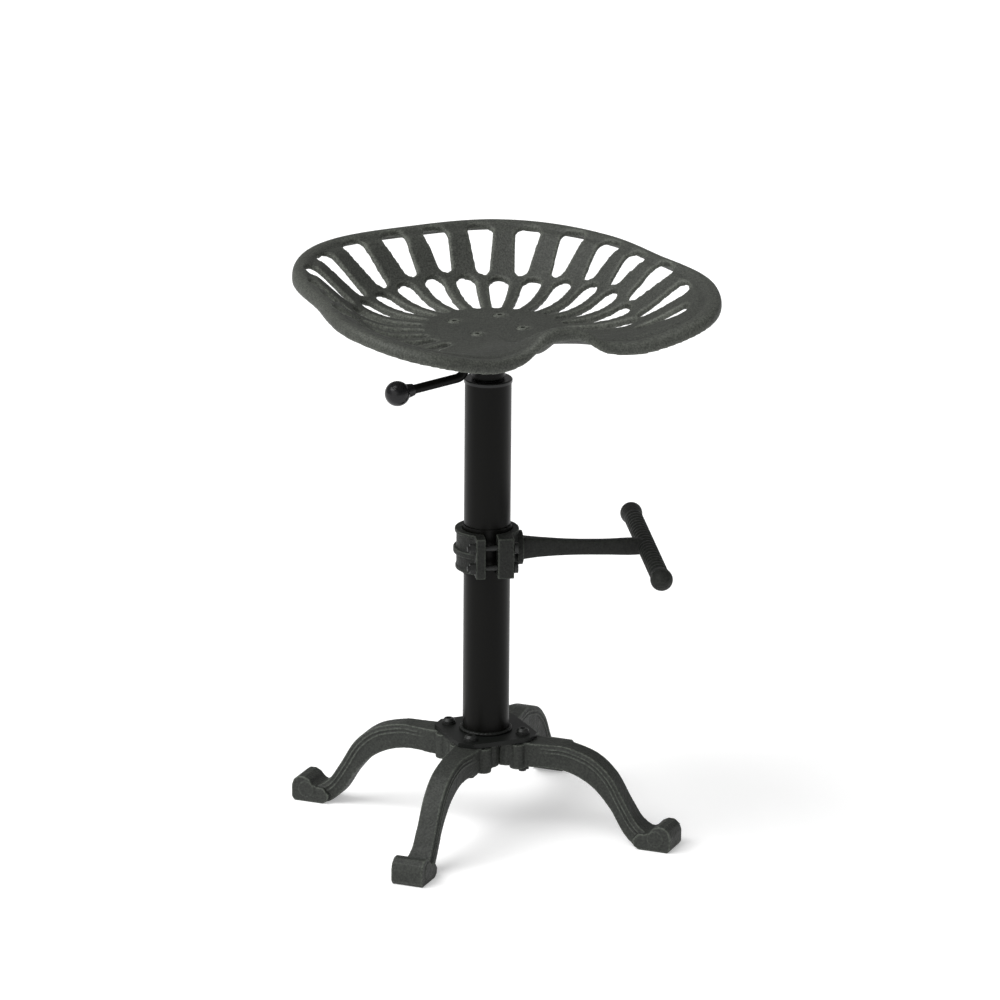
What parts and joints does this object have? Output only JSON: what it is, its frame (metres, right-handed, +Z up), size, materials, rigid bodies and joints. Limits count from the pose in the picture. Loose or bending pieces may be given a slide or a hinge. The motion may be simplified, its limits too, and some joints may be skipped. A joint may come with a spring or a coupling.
{
  "type": "tractor seat stool",
  "caption": "Height-adjustable swivel stool with a slotted, dished cast seat, a gas-lift column, scrolled cast legs and a ribbed bar footrest that slides and turns.",
  "frame": {"origin": "on the column's axis at floor level", "axes": "+Z up the column, the seat's open front looks along -Y, +X to the right of someone who stands in front of the seat"},
  "size_m": [0.4338, 0.3962, 0.62],
  "materials": {
    "base_casting": "sand-cast iron, matte dark grey-green paint",
    "plate_paint": "satin near-black paint on plate steel",
    "column_paint": "satin near-black powder coat on tube",
    "bush_plastic": "moulded black plastic",
    "fastener_black": "black oxide steel",
    "bearing_steel": "bright steel",
    "rod_chrome": "hard chrome",
    "cylinder_paint": "black coated cylinder",
    "seal_rubber": "black seal rubber",
    "tray_paint": "satin black pressed steel",
    "lever_paint": "satin black bar",
    "knob_plastic": "smooth black ball knob",
    "seat_casting": "sand-cast iron, matte dark grey-green paint",
    "footrest_casting": "sand-cast iron, matte dark grey-green paint"
  },
  "bodies": {
    "base": {"leg_rear_right": "base_casting", "leg_rear_left": "base_casting", "leg_front_left": "base_casting", "leg_front_right": "base_casting", "base_plate": "plate_paint", "column_tube": "column_paint", "column_weld": "column_paint", "column_bottom_disc": "column_paint", "guide_bush": "bush_plastic", "base_bolts": "fastener_black", "base_washers": "fastener_black", "base_nuts": "fastener_black"},
    "spindle": {"thrust_bearing": "bearing_steel", "gas_rod": "rod_chrome", "gas_piston": "bearing_steel", "rod_clip": "bearing_steel"},
    "seat": {"gas_cylinder": "cylinder_paint", "cylinder_seal": "seal_rubber", "lever_tray": "tray_paint", "hub_socket": "column_paint", "lever_pin": "bearing_steel", "seat_pan": "seat_casting", "seat_screws": "fastener_black", "seat_nuts": "fastener_black"},
    "lever": {"lever_rod": "lever_paint", "lever_knob": "knob_plastic"},
    "valve": {"valve_pin": "bearing_steel"},
    "footrest_slide": {"clamp_sleeve": "column_paint"},
    "footrest": {"clamp_arm": "footrest_casting", "clamp_cap": "footrest_casting", "clamp_bolts": "fastener_black", "clamp_washers": "fastener_black", "clamp_nuts": "fastener_black"}
  },
  "joints": [
    {"name": "seat_swivel", "type": "hinge", "parent": "base", "child": "spindle", "pos_m": [0, 0, 0.112], "axis": [0, 0, 1], "continuous": true},
    {"name": "seat_lift", "type": "slide", "parent": "spindle", "child": "seat", "axis": [0, 0, 1], "range_m": [0, 0.2]},
    {"name": "lever_lift", "type": "hinge", "parent": "seat", "child": "lever", "pos_m": [-0.028, 0, 0.532], "axis": [0, 1, 0], "range_deg": [0, 6], "stiffness_Nm_per_rad": 1.5},
    {"name": "valve_press", "type": "slide", "parent": "seat", "child": "valve", "axis": [0, 0, -1], "range_m": [0, 0.0033]},
    {"name": "footrest_height", "type": "slide", "parent": "base", "child": "footrest_slide", "axis": [0, 0, 1], "range_m": [-0.165, 0.15]},
    {"name": "footrest_turn", "type": "hinge", "parent": "footrest_slide", "child": "footrest", "pos_m": [0, 0, 0.312], "axis": [0, 0, 1], "continuous": true}
  ],
  "couplings": [
    {"joint": "valve_press", "follows": "lever_lift", "m_per_rad": 0.0315}
  ]
}
